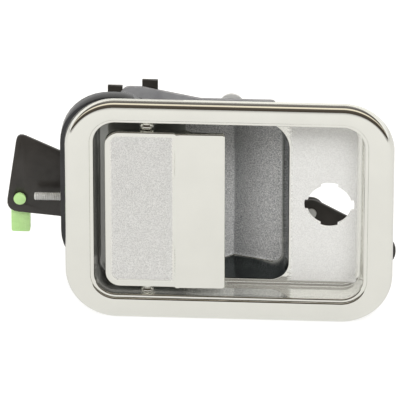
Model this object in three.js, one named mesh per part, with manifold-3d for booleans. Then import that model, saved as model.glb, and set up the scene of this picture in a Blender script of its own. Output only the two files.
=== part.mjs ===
// Paddle door handle for a heavy vehicle: a chromed bezel with a hinged pull paddle, a finger pocket,
// a lock panel, and the release and lock levers behind it. Millimetres; X to the right as seen from
// outside, -Y towards the person, +Z up. The sizes below are from the bezel's centre on its mounting
// plane; at the end the whole group moves so that the origin is the gasket's top centre on the door.
import * as THREE from "three";
import { mergeVertices } from "three/addons/utils/BufferGeometryUtils.js";
import Module from "manifold-3d";

const wasm = await Module();
wasm.setup();

// Bezel and opening
const BEZEL = { w: 178, h: 131.5, r: 28, proud: 6, round: 3 };
const OPENING = { w: 146, h: 104, r: 12, z: 1.2, lip: 3 };
const WALL = 2.5;
const PAN_Y = 8; // floor of the pan and face of the lock panel
const WELL_Y = 12; // floor of the well behind the paddle
const WELL_R = 8;
const BOX_R = 14; // corners of the housing behind the bezel
const DRAFT = 1.5; // how much the opening narrows towards its floor
const CUT = 0.5; // how far a cutting tool reaches past the face it cuts
const GAP = 0.3; // clearance between neighbours
const ROUND = 32; // sides of a large round
const FINE = 12; // sides of a small round
const DOOR_FACE = { y: 2.5, z: 59.5 }; // top centre of the gasket where it meets the door skin
// Finger pocket: a ramp, its deepest line, a shallow floor and a steep right wall
const POCKET = {
  left: -24, deepX: 1.5, deepY: 26, shelfX: 25, shelfY: 21, right: 32, bottom: -49, top: 51,
  outerLeft: -28, outerDeepX: 0.2, outerShelfX: 26.6,
};
// Lock cylinder hole
const LOCK = { x: 54, z: 0, r: 12.1, notchR: 13.6, notchWide: 10, notchTall: 6.8 };
// Gasket: a thin frame, with a thicker pad at the upper left
const GASKET = {
  side: 86, high: 63, r: 26, face: DOOR_FACE.y,
  padLeft: -91.3, padRight: -34, padBottom: -42, padTop: 65.3, padR: 27, padFace: 9,
};
// Paddle and its vertical hinge
const HINGE = { x: -44.5, y: 2.2, pinR: 2.4, boreR: 3.3, bossR: 4.25, bush: 9 };
const PIN_SEAT = 1.5; // how far the hinge pin's hole goes into the lower wall
const PADDLE = { left: -67, right: -2, z: 0.8, h: 94, r: 8, sharpR: 1, front: -4.5, back: 0, recess: 0.4 };
const RIDGE = { left: -30.5, top: -28, fall: -21, front: -5.9, end: -5.2, thick: 2.6, under: -3 };
const PADDLE_SPRING = { bottom: 10.5, top: 33.5, margin: 2.5, room: 5.5, r: 4.2, wireR: 0.6, turns: 8 };
const BUMPER = { x: -31, z: 30, r: 3.5, front: 0.5 };
const ARM = {
  left: -41.2, right: -38.2, bottom: -14.5, top: -3.5, start: 0.3, end: 32, swing: 8.2,
  footEnd: -27, footBack: 2.3, screws: [[-33, -6.5], [-33, -11.5]], holeR: 1.5, screwR: 1.2, headR: 2.3,
};
// Release lever with its pivot, ears and adjuster
const LEVER = { y: 36, thick: 2, pivotX: -58, pivotZ: -36, hubR: 9, pinR: 3, frontY: 29, backY: 40.8 };
const PIN_HEAD = { frontR: 4.4, backR: 4.8, thick: 1.6 };
const WASHER = { r: 6.5, thick: 0.8 };
const LEVER_SPRING = { front: 33.9, back: 35.1, r: 5, wireR: 0.45, turns: 0.92 };
const EAR = {
  drive: -37.2, stop: -70, fixed: -85, thick: 2, bottom: -14, top: -4, front: 26,
  rootBottom: 4, rootTop: 14,
};
const ADJUSTER = { left: -108, right: -72.5, y: 29, z: -9.5, r: 2.3, holeR: 2.7, nutR: 4.6, nutT: 3.2 };
const CLIP = {
  x: -116.5, z: -14.5, headR: 3.4, headT: 1.5, holeR: 2.9, neckR: 2.5,
  width: 10.3, drop: 22, rise: 5, thick: 4.5, r: 1.2,
};
// Rear structure
const BRACKET = { y: 28.8, thick: 1.8 };
const PLATE = {
  y: 31, thick: 2, left: -68, right: 22.5, bottom: -49, top: 50, r: 5,
  tabs: [[-67.4, -59.4, 57.6], [-48.7, -40.2, 61.5]],
};
const WINDOW = { left: -73, right: -20, bottom: -30, top: 4 };
const LOCK_LEVER = {
  y: 28.5, thick: 2, x: 43.6, z: -15.6, hubR: 7.6, pinR: 2, endX: 79.8, endZ: -38.3, endR: 10.3, rodHoleR: 2.6,
};
const RIVET = { frontR: 2.9, frontT: 1.4, backR: 3.2, backT: 1.6 };
const STUD = { x: 82.5, z: 35, r: 2.5, start: -3.7, length: 22, nutR: 5.6, nutT: 5, nutY: 6 };
const SCREW = { r: 2, headR: 4.6, largeHeadR: 6.5, headT: 2.2 };
const BRACKET_SCREWS = [[-56, 44], [-0.3, 47], [-38, -43], [18, -40]];
const LARGE_SCREW = 1; // the screw with the larger head, above the pocket
const BOSS = { r: 4.5, end: 28.5, holeR: 2.3, deepY: 19.5, shallowY: 25.6 };

const CHROME = { color: 0xd9d8d4, roughness: 0.08, metalness: 1 };
const ZINC = { color: 0xa9acb0, roughness: 0.35, metalness: 1 };
const STEEL = { color: 0xb9bcc0, roughness: 0.3, metalness: 1 };
const BLACK = { color: 0x2b2926, roughness: 0.5, metalness: 0.3 };
const RUBBER = { color: 0x26282a, roughness: 0.45, metalness: 0 };
const GREEN = { color: 0xbceb96, roughness: 0.4, metalness: 0 };
const NYLON = { color: 0xe8e6dc, roughness: 0.5, metalness: 0 };

// ---- solids ----
function solid(geometry) {
  const bare = geometry.clone();
  bare.deleteAttribute("normal");
  bare.deleteAttribute("uv");
  const merged = mergeVertices(bare, 1e-3);
  const vertProperties = merged.attributes.position.array;
  const triVerts = new Uint32Array(merged.index.array);
  return new wasm.Manifold(new wasm.Mesh({ numProp: 3, vertProperties, triVerts }));
}

function geometryOf(manifold) {
  const mesh = manifold.getMesh();
  const geometry = new THREE.BufferGeometry();
  geometry.setAttribute("position", new THREE.BufferAttribute(new Float32Array(mesh.vertProperties), 3));
  geometry.setIndex(new THREE.BufferAttribute(new Uint32Array(mesh.triVerts), 1));
  return geometry;
}

const join = (first, ...others) => others.reduce((sum, next) => sum.add(next), first);
const cut = (first, ...others) => others.reduce((rest, next) => rest.subtract(next), first);

// A block between two corners.
function block(x0, x1, y0, y1, z0, z1) {
  const geometry = new THREE.BoxGeometry(x1 - x0, y1 - y0, z1 - z0);
  geometry.translate((x0 + x1) / 2, (y0 + y1) / 2, (z0 + z1) / 2);
  return solid(geometry);
}

// A flat outline in X and Z given a thickness from y0 to y1.
function sheet(shape, y0, y1, segments = 5) {
  const extrusion = { depth: y1 - y0, bevelEnabled: false, curveSegments: segments };
  const geometry = new THREE.ExtrudeGeometry(shape, extrusion);
  geometry.rotateX(Math.PI / 2);
  geometry.translate(0, y1, 0);
  return solid(geometry);
}

// A flat outline in X and Y given a height from z0 to z1.
function upright(points, z0, z1) {
  const shape = new THREE.Shape(points.map(([x, y]) => new THREE.Vector2(x, y)));
  const geometry = new THREE.ExtrudeGeometry(shape, { depth: z1 - z0, bevelEnabled: false });
  geometry.translate(0, 0, z0);
  return solid(geometry);
}

// Round bars along each axis.
function barY(x, z, r, y0, y1, sides = 20) {
  const geometry = new THREE.CylinderGeometry(r, r, y1 - y0, sides);
  geometry.translate(x, (y0 + y1) / 2, z);
  return solid(geometry);
}

function barZ(x, y, r, z0, z1, sides = 20) {
  const geometry = new THREE.CylinderGeometry(r, r, z1 - z0, sides);
  geometry.rotateX(Math.PI / 2);
  geometry.translate(x, y, (z0 + z1) / 2);
  return solid(geometry);
}

function barX(y, z, r, x0, x1, sides = 20) {
  const geometry = new THREE.CylinderGeometry(r, r, x1 - x0, sides);
  geometry.rotateZ(Math.PI / 2);
  geometry.translate((x0 + x1) / 2, y, z);
  return solid(geometry);
}

// Points round a rounded rectangle centred on (0, z).
function ring(w, h, r, z, steps = 6) {
  const points = [];
  const corners = [[1, 1, 0], [-1, 1, 90], [-1, -1, 180], [1, -1, 270]];
  for (const [sx, sz, start] of corners) {
    for (let i = 0; i <= steps; i++) {
      const angle = THREE.MathUtils.degToRad(start + (90 * i) / steps);
      points.push([sx * (w / 2 - r) + r * Math.cos(angle), z + sz * (h / 2 - r) + r * Math.sin(angle)]);
    }
  }
  return points;
}

// A closed skin through rings of equal count, given from front (low y) to back.
function loft(rings) {
  const count = rings[0].points.length;
  const position = rings.flatMap(({ y, points }) => points.flatMap(([x, z]) => [x, y, z]));
  const index = [];
  for (let k = 0; k + 1 < rings.length; k++) {
    for (let i = 0; i < count; i++) {
      const a = k * count + i;
      const b = k * count + ((i + 1) % count);
      index.push(a, b, a + count, b, b + count, a + count);
    }
  }
  const last = (rings.length - 1) * count;
  for (let i = 1; i + 1 < count; i++) {
    index.push(0, i + 1, i);
    index.push(last, last + i, last + i + 1);
  }
  const geometry = new THREE.BufferGeometry();
  geometry.setAttribute("position", new THREE.Float32BufferAttribute(position, 3));
  geometry.setIndex(index.flatMap((_, i) => (i % 3 ? [] : [index[i], index[i + 2], index[i + 1]])));
  return solid(geometry);
}

function roundedShape(x0, x1, z0, z1, r) {
  const shape = new THREE.Shape();
  shape.moveTo(x0 + r, z0);
  shape.lineTo(x1 - r, z0);
  shape.absarc(x1 - r, z0 + r, r, -Math.PI / 2, 0);
  shape.lineTo(x1, z1 - r);
  shape.absarc(x1 - r, z1 - r, r, 0, Math.PI / 2);
  shape.lineTo(x0 + r, z1);
  shape.absarc(x0 + r, z1 - r, r, Math.PI / 2, Math.PI);
  shape.lineTo(x0, z0 + r);
  shape.absarc(x0 + r, z0 + r, r, Math.PI, Math.PI * 1.5);
  return shape;
}

// A polygon with each corner rounded by its own radius: points are [x, z, radius].
function roundedPolygon(points) {
  const shape = new THREE.Shape();
  points.forEach(([x, z, r], i) => {
    const here = new THREE.Vector2(x, z);
    const before = new THREE.Vector2(...points.at(i - 1).slice(0, 2)).sub(here).normalize();
    const after = new THREE.Vector2(...points[(i + 1) % points.length].slice(0, 2)).sub(here).normalize();
    const reach = r / Math.tan(Math.acos(before.dot(after)) / 2);
    const start = here.clone().addScaledVector(before, reach);
    const end = here.clone().addScaledVector(after, reach);
    if (i) shape.lineTo(start.x, start.y);
    else shape.moveTo(start.x, start.y);
    shape.quadraticCurveTo(x, z, end.x, end.y);
  });
  return shape;
}

const group = new THREE.Group();
function place(name, manifold, look) {
  const mesh = new THREE.Mesh(geometryOf(manifold), new THREE.MeshStandardMaterial(look));
  mesh.name = name;
  group.add(mesh);
}

// ---- housing ----
const openTop = OPENING.z + OPENING.h / 2;
const openBottom = OPENING.z - OPENING.h / 2;
const openSide = OPENING.w / 2;
const paddleTop = PADDLE.z + PADDLE.h / 2;
const paddleBottom = PADDLE.z - PADDLE.h / 2;
// A screw behind the finger pocket stops short of the pocket's floor.
const holeStart = (x) => (x > POCKET.left ? BOSS.shallowY : BOSS.deepY);
const studPlaces = [[-1, 1], [1, 1], [-1, -1], [1, -1]].map(([x, z]) => [x * STUD.x, z * STUD.z]);

function flangeBody() {
  const steps = 4;
  const rings = [];
  for (let i = steps; i >= 0; i--) {
    const angle = (i / steps) * (Math.PI / 2);
    const inset = BEZEL.round * (1 - Math.cos(angle));
    const points = ring(BEZEL.w - 2 * inset, BEZEL.h - 2 * inset, BEZEL.r - inset, 0);
    rings.push({ y: -BEZEL.proud * Math.sin(angle), points });
  }
  return loft(rings);
}

function openingTool(floorY) {
  const steps = 3;
  const grown = (by) => ring(OPENING.w + 2 * by, OPENING.h + 2 * by, OPENING.r + by, OPENING.z);
  const rings = [{ y: -BEZEL.proud - CUT, points: grown(OPENING.lip) }];
  for (let i = 0; i <= steps; i++) {
    const angle = (i / steps) * (Math.PI / 2);
    const y = OPENING.lip - BEZEL.proud - OPENING.lip * Math.cos(angle);
    rings.push({ y, points: grown(OPENING.lip * (1 - Math.sin(angle))) });
  }
  rings.push({ y: floorY, points: grown(-DRAFT) });
  return loft(rings);
}

function lockHoleTool() {
  const { x, z, r, notchR, notchWide, notchTall } = LOCK;
  const y0 = PAN_Y - CUT;
  const y1 = PAN_Y + WALL + CUT;
  const tall = block(x - notchWide / 2, x + notchWide / 2, y0, y1, z - notchR, z + notchR);
  const wide = block(x - notchR, x + notchR, y0, y1, z - notchTall / 2, z + notchTall / 2);
  const notches = barY(x, z, notchR, y0, y1, ROUND).intersect(join(tall, wide));
  return join(barY(x, z, r, y0, y1, ROUND), notches);
}

// The pocket's section, moved out by the wall for its outside.
function pocketBody() {
  const { left, deepX, deepY, shelfX, shelfY, right, bottom, top } = POCKET;
  const { outerLeft, outerDeepX, outerShelfX } = POCKET;
  const section = [[outerLeft, PAN_Y], [outerLeft, WELL_Y + WALL], [outerDeepX, deepY + WALL],
    [outerShelfX, shelfY + WALL], [right + WALL, PAN_Y]];
  const hollow = [[left, PAN_Y - CUT], [left, WELL_Y], [deepX, deepY], [shelfX, shelfY],
    [right, PAN_Y - CUT]];
  const outside = upright(section, bottom - WALL, top + WALL);
  return { outside, inside: upright(hollow, bottom, top) };
}

function outerBody(pocketOutside) {
  const side = openSide + WALL;
  const box = roundedShape(-side, side, openBottom - WALL, openTop + WALL, BOX_R);
  const well = roundedShape(-side, POCKET.left, openBottom - WALL, openTop + WALL, BOX_R);
  const bosses = BRACKET_SCREWS.map(([x, z]) => barY(x, z, BOSS.r, PAN_Y + 1, BOSS.end));
  const walls = join(sheet(box, -1, PAN_Y + WALL), sheet(well, -1, WELL_Y + WALL));
  return join(flangeBody(), walls, pocketOutside, ...bosses);
}

function armSlot() {
  const y0 = WELL_Y - CUT;
  const y1 = WELL_Y + WALL + CUT;
  return block(ARM.left - 1, ARM.right + ARM.swing, y0, y1, ARM.bottom - 1, ARM.top + 1);
}

function housingCasting() {
  const pocket = pocketBody();
  const [wellBottom, wellTop] = [openBottom + DRAFT, openTop - DRAFT];
  const well = roundedShape(-openSide + DRAFT, POCKET.left + 1, wellBottom, wellTop, WELL_R);
  const wellTool = sheet(well, PAN_Y - CUT, WELL_Y);
  const hollow = cut(outerBody(pocket.outside), openingTool(PAN_Y), wellTool, pocket.inside);
  const knuckles = [[paddleTop + CUT, openTop + 1], [openBottom - 1, paddleBottom - CUT]]
    .map(([z0, z1]) => barZ(HINGE.x, HINGE.y, HINGE.bossR, z0, z1));
  const pinBore = barZ(HINGE.x, HINGE.y, HINGE.pinR + GAP, openBottom - PIN_SEAT, openTop + WALL + 1);
  const bossHoles = BRACKET_SCREWS
    .map(([x, z]) => barY(x, z, BOSS.holeR, holeStart(x), BOSS.end + CUT, FINE));
  const studHoles = studPlaces.map(([x, z]) => barY(x, z, STUD.r + GAP, STUD.start - GAP, CUT, FINE));
  return cut(join(hollow, ...knuckles), lockHoleTool(), armSlot(), pinBore, ...bossHoles, ...studHoles);
}

function flangeGasket() {
  const { side, high, r, face, padLeft, padRight, padBottom, padTop, padR, padFace } = GASKET;
  const edge = openSide + WALL + CUT;
  const thin = sheet(roundedShape(-side, side, -high, high, r), GAP, face);
  const pad = sheet(roundedShape(padLeft, padRight, padBottom, padTop, padR), GAP, padFace);
  const inner = roundedShape(-edge, edge, openBottom - WALL - CUT, openTop + WALL + CUT, BOX_R);
  const hole = sheet(inner, 0, padFace + 1);
  const trim = block(-edge, padRight + 1, face, padFace + 1, padBottom - 1, openTop + WALL + 1);
  const nuts = studPlaces.map(([x, z]) => barY(x, z, STUD.nutR + 1, face, padFace + 1, 16));
  const studs = studPlaces.map(([x, z]) => barY(x, z, STUD.r + GAP, 0, face + 1, FINE));
  return cut(join(thin, cut(pad, trim)), hole, ...nuts, ...studs);
}

function stud([x, z]) {
  return barY(x, z, STUD.r, STUD.start, STUD.start + STUD.length, FINE);
}

function studNut([x, z]) {
  const end = STUD.nutY + STUD.nutT;
  const bore = barY(x, z, STUD.r + GAP, STUD.nutY - 1, end + 1, FINE);
  return cut(barY(x, z, STUD.nutR, STUD.nutY, end, 6), bore);
}

// ---- paddle ----
function paddlePlate() {
  const { left, right, front, back, r, sharpR } = PADDLE;
  const section = [[left, front], [RIDGE.left, front], [RIDGE.top, RIDGE.front], [RIDGE.fall, RIDGE.front],
    [right, RIDGE.end], [right, RIDGE.end + RIDGE.thick], [RIDGE.fall + 2, RIDGE.under], [RIDGE.fall - 3, back],
    [left, back]];
  const outline = roundedPolygon([[left, paddleBottom, r], [right, paddleBottom, sharpR],
    [right, paddleTop, sharpR], [left, paddleTop, r]]);
  return upright(section, paddleBottom, paddleTop).intersect(sheet(outline, RIDGE.front - 1, back + 1));
}

function paddle() {
  const { left, front, back, recess } = PADDLE;
  const barrel = barZ(HINGE.x, HINGE.y, HINGE.bossR, paddleBottom, paddleTop, 24);
  const [panelBottom, panelTop] = [paddleBottom + 5.5, paddleTop - 4];
  const panel = block(left + 3, RIDGE.left - CUT, front - CUT, front + recess, panelBottom, panelTop);
  const { room, bottom, top, margin } = PADDLE_SPRING;
  const springRoom = block(HINGE.x - room, HINGE.x + room, front + 1.7, PAN_Y, bottom - margin, top + margin);
  const armRoom = block(ARM.left - 1, ARM.right + 1, back + 0.1, PAN_Y, ARM.bottom - 1, ARM.top + 1);
  const bore = barZ(HINGE.x, HINGE.y, HINGE.boreR, paddleBottom - 1, paddleTop + 1, 24);
  return cut(join(paddlePlate(), barrel), panel, springRoom, armRoom, bore);
}

function hingePin() {
  return barZ(HINGE.x, HINGE.y, HINGE.pinR, openBottom - PIN_SEAT + GAP, openTop + WALL);
}

function hingeBush(z0, z1) {
  const { x, y, boreR, pinR } = HINGE;
  return cut(barZ(x, y, boreR - 0.1, z0, z1), barZ(x, y, pinR + 0.15, z0 - 1, z1 + 1));
}

// A round wire along a curve.
function wire(curve, r, steps) {
  const shape = new THREE.Shape();
  shape.absarc(0, 0, r, 0, Math.PI * 2);
  const sweep = { steps, extrudePath: curve, curveSegments: 3, bevelEnabled: false };
  return solid(new THREE.ExtrudeGeometry(shape, sweep));
}

// A curve through points given by a share of the length and the angle turned by then.
function coil(pointAt, turns, steps) {
  const points = [];
  for (let i = 0; i <= steps; i++) points.push(pointAt(i / steps, (i / steps) * turns * Math.PI * 2));
  return new THREE.CatmullRomCurve3(points);
}

function paddleSpring() {
  const { bottom, top, r, wireR, turns } = PADDLE_SPRING;
  const pointAt = (share, angle) => new THREE.Vector3(
    HINGE.x + r * Math.cos(angle),
    HINGE.y + r * Math.sin(angle),
    bottom + (top - bottom) * share,
  );
  return wire(coil(pointAt, turns, turns * 8), wireR, turns * 9);
}

function paddleArm() {
  const { left, right, start, end, bottom, top, footEnd, footBack, screws } = ARM;
  const blade = block(left, right, start, end, bottom, top);
  const foot = block(right - 1, footEnd, start, footBack, bottom, top);
  return cut(join(blade, foot), ...screws.map(([x, z]) => barY(x, z, ARM.holeR, 0, footBack + 1, FINE)));
}

function armScrew([x, z]) {
  const headY = ARM.footBack + 0.1;
  return join(barY(x, z, ARM.screwR, 0.1, headY + 1, FINE), barY(x, z, ARM.headR, headY, headY + 1.4, FINE));
}

function bumper() {
  return barY(BUMPER.x, BUMPER.z, BUMPER.r, BUMPER.front, WELL_Y, 16);
}

// ---- rear structure ----
const screwHoles = (y0, y1) => BRACKET_SCREWS.map(([x, z]) => barY(x, z, BOSS.holeR, y0, y1, FINE));

function rearBracket() {
  const { y, thick } = BRACKET;
  const outline = roundedPolygon([[-68, 31, 3], [-50, 31, 3], [-20, 38, 6], [24, 38, 3], [24, 52, 3],
    [-17, 52, 10], [-49, 58.3, 8], [-57.5, 58.3, 5], [-68, 45, 6]]);
  return cut(sheet(outline, y, y + thick), ...screwHoles(y - 1, y + thick + 1));
}

// The ear that holds the adjuster, and the strip that carries it out to the side.
function fixedEar(y0, y1, hole) {
  const x0 = EAR.fixed - EAR.thick / 2;
  const reach = block(x0, PLATE.left + PLATE.r, y0, y1, EAR.rootBottom, EAR.rootTop);
  const ear = block(x0, x0 + EAR.thick, EAR.front, y1, ADJUSTER.z - ADJUSTER.nutR, EAR.rootTop);
  return cut(join(reach, ear), hole);
}

function backingPlate() {
  const y0 = PLATE.y;
  const y1 = PLATE.y + PLATE.thick;
  const { left, right, bottom, top, r, tabs } = PLATE;
  const main = sheet(roundedShape(left, right, bottom, top, r), y0, y1);
  const tabBlocks = tabs.map(([x0, x1, tabTop]) => block(x0, x1, y0, y1, top - 2 * r, tabTop));
  const { x, z, hubR, pinR } = LOCK_LEVER;
  const earShape = roundedShape(right - 7.5, x + hubR - 1, z - hubR - GAP, z + hubR, hubR - 0.5);
  const lockEar = sheet(earShape, y0, y1);
  const through = [y0 - 1, y1 + 1];
  const earHole = barX(ADJUSTER.y, ADJUSTER.z, ADJUSTER.holeR, EAR.fixed - 5, EAR.fixed + 5);
  const window = block(WINDOW.left, WINDOW.right, ...through, WINDOW.bottom, WINDOW.top);
  const leverHole = barY(LEVER.pivotX, LEVER.pivotZ, LEVER.pinR, ...through);
  const rivetHole = barY(x, z, pinR + GAP, ...through, FINE);
  const holes = [window, leverHole, rivetHole, ...screwHoles(...through)];
  return join(cut(join(main, ...tabBlocks, lockEar), ...holes), fixedEar(y0, y1, earHole));
}

function bracketScrew([x, z], headR) {
  const headY = PLATE.y + PLATE.thick + 0.1;
  const shank = barY(x, z, SCREW.r, holeStart(x) + GAP, headY + 1, FINE);
  return join(shank, barY(x, z, headR, headY, headY + SCREW.headT, 16));
}

function adjusterScrew() {
  return barX(ADJUSTER.y, ADJUSTER.z, ADJUSTER.r, ADJUSTER.left, ADJUSTER.right);
}

function adjusterNut() {
  const { y, z, nutR, nutT, holeR } = ADJUSTER;
  const x0 = EAR.fixed + EAR.thick / 2 + GAP;
  return cut(barX(y, z, nutR, x0, x0 + nutT, 6), barX(y, z, holeR, x0 - 1, x0 + nutT + 1));
}

// ---- release lever ----
function releaseLever() {
  const { y, thick, pivotX, pivotZ, hubR, pinR } = LEVER;
  const outline = roundedPolygon([[-124.5, -22.5, 7], [-92, -25.5, 10], [-66, -46, 8], [-50, -45, 8],
    [-33, -15, 3], [-34, -3, 2], [-60, -2, 8], [-92, 13.4, 8], [-117.5, 25.2, 4]]);
  const plate = join(sheet(outline, y, y + thick), barY(pivotX, pivotZ, hubR, y, y + thick));
  const ears = [EAR.drive, EAR.stop]
    .map((x) => block(x, x + EAR.thick, EAR.front, y + thick, EAR.bottom, EAR.top));
  const pivotHole = barY(pivotX, pivotZ, pinR, y - 1, y + thick + 1);
  const clipHole = barY(CLIP.x, CLIP.z, CLIP.holeR, y - 1, y + thick + 1, 16);
  return cut(join(plate, ...ears), pivotHole, clipHole);
}

function leverPin() {
  const { pivotX: x, pivotZ: z, pinR, frontY, backY } = LEVER;
  const shank = barY(x, z, pinR - GAP, frontY, backY);
  const peened = barY(x, z, PIN_HEAD.frontR, frontY, PLATE.y - 0.4);
  const head = barY(x, z, PIN_HEAD.backR, backY - PIN_HEAD.thick, backY);
  return join(shank, peened, head);
}

function leverWasher() {
  const { pivotX: x, pivotZ: z, pinR, y, thick } = LEVER;
  const y0 = y + thick + 0.2;
  return cut(barY(x, z, WASHER.r, y0, y0 + WASHER.thick), barY(x, z, pinR, y0 - 1, y0 + 2));
}

function leverSpring() {
  const { front, back, r, wireR, turns } = LEVER_SPRING;
  const pointAt = (share, angle) => new THREE.Vector3(
    LEVER.pivotX + r * Math.cos(angle),
    front + (back - front) * share,
    LEVER.pivotZ + r * Math.sin(angle),
  );
  return wire(coil(pointAt, turns, 12), wireR, 16);
}

function rodClip() {
  const { x, z, headR, headT, neckR, width, drop, rise, thick, r } = CLIP;
  const front = LEVER.y - headT - GAP;
  const behind = LEVER.y + LEVER.thick + GAP;
  const head = barY(x, z, headR, front, front + headT);
  const neck = barY(x, z, neckR, front + headT / 2, behind + 1, 16);
  const side = width / 2;
  const body = sheet(roundedShape(x - side, x + side, z - drop, z + rise, r), behind, behind + thick);
  return join(head, neck, body);
}

// ---- lock lever ----
function lockLever() {
  const { y, thick, x, z, hubR, endX, endZ, endR, pinR, rodHoleR } = LOCK_LEVER;
  const lean = Math.atan2(endZ - z, endX - x);
  const outline = new THREE.Shape();
  outline.absarc(x, z, hubR, lean + Math.PI / 2, lean + Math.PI * 1.5);
  outline.absarc(endX, endZ, endR, lean - Math.PI / 2, lean + Math.PI / 2);
  const plate = sheet(outline, y, y + thick, 12);
  const pivotHole = barY(x, z, pinR + GAP, y - 1, y + thick + 1, FINE);
  return cut(plate, pivotHole, barY(endX - 1, endZ, rodHoleR, y - 1, y + thick + 1, 16));
}

function lockRivet() {
  const { x, z, y, pinR } = LOCK_LEVER;
  const backY = PLATE.y + PLATE.thick;
  const frontHead = barY(x, z, RIVET.frontR, y - 0.2 - RIVET.frontT, y - 0.2, 16);
  const backHead = barY(x, z, RIVET.backR, backY + 0.2, backY + RIVET.backT, 16);
  return join(barY(x, z, pinR, y - 1, backY + RIVET.backT - 0.1, FINE), frontHead, backHead);
}

place("housing_casting", housingCasting(), CHROME);
place("flange_gasket", flangeGasket(), RUBBER);
studPlaces.forEach((at, i) => {
  place(`mounting_stud_${i + 1}`, stud(at), STEEL);
  place(`mounting_nut_${i + 1}`, studNut(at), STEEL);
});
place("hinge_pin", hingePin(), STEEL);
place("paddle_spring", paddleSpring(), STEEL);
place("paddle_bumper", bumper(), RUBBER);
place("rear_bracket", rearBracket(), ZINC);
place("backing_plate", backingPlate(), BLACK);
BRACKET_SCREWS.forEach((at, i) => {
  const headR = i === LARGE_SCREW ? SCREW.largeHeadR : SCREW.headR;
  place(`bracket_screw_${i + 1}`, bracketScrew(at, headR), STEEL);
});
place("lever_pivot_pin", leverPin(), STEEL);
place("lever_pivot_washer", leverWasher(), STEEL);
place("lever_return_spring", leverSpring(), STEEL);
place("lock_lever_rivet", lockRivet(), ZINC);
place("paddle", paddle(), CHROME);
place("hinge_bush_upper", hingeBush(paddleTop - HINGE.bush, paddleTop), NYLON);
place("hinge_bush_lower", hingeBush(paddleBottom, paddleBottom + HINGE.bush), NYLON);
place("paddle_arm", paddleArm(), STEEL);
ARM.screws.forEach((at, i) => place(`arm_screw_${i + 1}`, armScrew(at), STEEL));
place("release_lever", releaseLever(), BLACK);
place("adjuster_screw", adjusterScrew(), STEEL);
place("adjuster_nut", adjusterNut(), STEEL);
place("rod_clip", rodClip(), GREEN);
place("lock_lever", lockLever(), BLACK);
group.position.set(0, -DOOR_FACE.y, -DOOR_FACE.z);

export default group;
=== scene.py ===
import math

import bmesh
import bpy
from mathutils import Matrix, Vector


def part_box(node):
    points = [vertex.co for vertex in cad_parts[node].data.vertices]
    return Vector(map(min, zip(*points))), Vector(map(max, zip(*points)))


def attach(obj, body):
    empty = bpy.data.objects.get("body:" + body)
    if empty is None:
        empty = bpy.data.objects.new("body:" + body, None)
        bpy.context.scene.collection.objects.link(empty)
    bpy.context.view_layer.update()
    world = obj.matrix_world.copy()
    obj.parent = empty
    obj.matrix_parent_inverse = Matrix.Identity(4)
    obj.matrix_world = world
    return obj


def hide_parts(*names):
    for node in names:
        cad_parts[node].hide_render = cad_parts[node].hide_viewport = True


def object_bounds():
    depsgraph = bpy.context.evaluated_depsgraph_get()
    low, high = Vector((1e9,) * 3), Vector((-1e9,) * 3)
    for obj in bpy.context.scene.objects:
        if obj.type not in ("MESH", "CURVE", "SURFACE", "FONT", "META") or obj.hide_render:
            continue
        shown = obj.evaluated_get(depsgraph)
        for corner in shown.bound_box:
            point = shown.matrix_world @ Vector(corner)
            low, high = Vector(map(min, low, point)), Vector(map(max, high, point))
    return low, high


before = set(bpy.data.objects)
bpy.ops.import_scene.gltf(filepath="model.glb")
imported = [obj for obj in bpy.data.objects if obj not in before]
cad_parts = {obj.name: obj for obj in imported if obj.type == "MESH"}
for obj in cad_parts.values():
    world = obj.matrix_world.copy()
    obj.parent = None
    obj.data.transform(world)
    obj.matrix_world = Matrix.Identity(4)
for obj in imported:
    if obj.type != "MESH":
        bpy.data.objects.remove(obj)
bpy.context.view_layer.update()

MM = 0.001

# ---- sizes, in millimetres, from the bezel's centre on its mounting plane ----
ORIGIN = Vector((0.0, 2.5, 59.5))  # where the frame's own origin is in those millimetres
BEZEL_W, BEZEL_H, BEZEL_R, PROUD, OUTER_ROUND = 178.0, 131.5, 28.0, 6.0, 3.0
OPEN_W, OPEN_H, OPEN_R, OPEN_Z, LIP = 146.0, 104.0, 12.0, 1.2, 3.0
LIP_ROUNDS, LIP_LEDGE, LIP_RISER = ((1.0, 8), (0.9, 8)), 1.0, 0.2
SKIN = 2.2
SLOT_RIGHT = -30.0
PANEL_Y, WELL_Y = 8.0, 12.0
POCKET_LEFT, DEEP_X, DEEP_Y, SHELF_SLOPE = -24.0, 1.5, 26.0, 0.21
POCKET_RIGHT, POCKET_TOP, POCKET_BOTTOM = 32.0, 49.6, -46.0
MOUTH_RADII = [16.0, 3.0, 3.0, 10.0]
WALL_SLOPE = 3.6
LOCK_X, LOCK_Z, LOCK_R, NOTCH_R, NOTCH_WIDE, NOTCH_TALL = 54.0, 0.0, 12.1, 13.6, 10.0, 6.8
HINGE_X, HINGE_Y, BOSS_R = -44.5, 2.2, 4.25
DRAFT, FLOOR_FILLET, CROWN, MESH_STEP = 1.0, 1.8, 0.12, 1.0
# How far the pocket's wall stands over its floor where the fillet starts and where it has ended.
FILLET_FROM, FILLET_TO = 1.2, 3.2
PADDLE_LEFT, PADDLE_RIGHT, PADDLE_TOP, PADDLE_BOTTOM = -67.0, -2.0, 47.8, -46.2
PADDLE_RADII, PADDLE_FACE, PADDLE_EDGE, PANEL_DEPTH = [1.6, 8.0, 8.0, 1.6], -4.5, 0.7, 0.45


# ---- small helpers ----
def metres(x, y, z):
    """A point in the bezel's millimetres as the frame has it, in metres."""
    return ((x - ORIGIN.x) * MM, (y - ORIGIN.y) * MM, (z - ORIGIN.z) * MM)


def cad_box(name):
    """The two corners of a CAD node, in the bezel's millimetres."""
    lo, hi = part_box(name)
    return lo / MM + ORIGIN, hi / MM + ORIGIN


def clamp01(t):
    return max(0.0, min(1.0, t))


def smooth(a, b, t):
    t = clamp01((t - a) / (b - a))
    return t * t * (3 - 2 * t)


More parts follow.
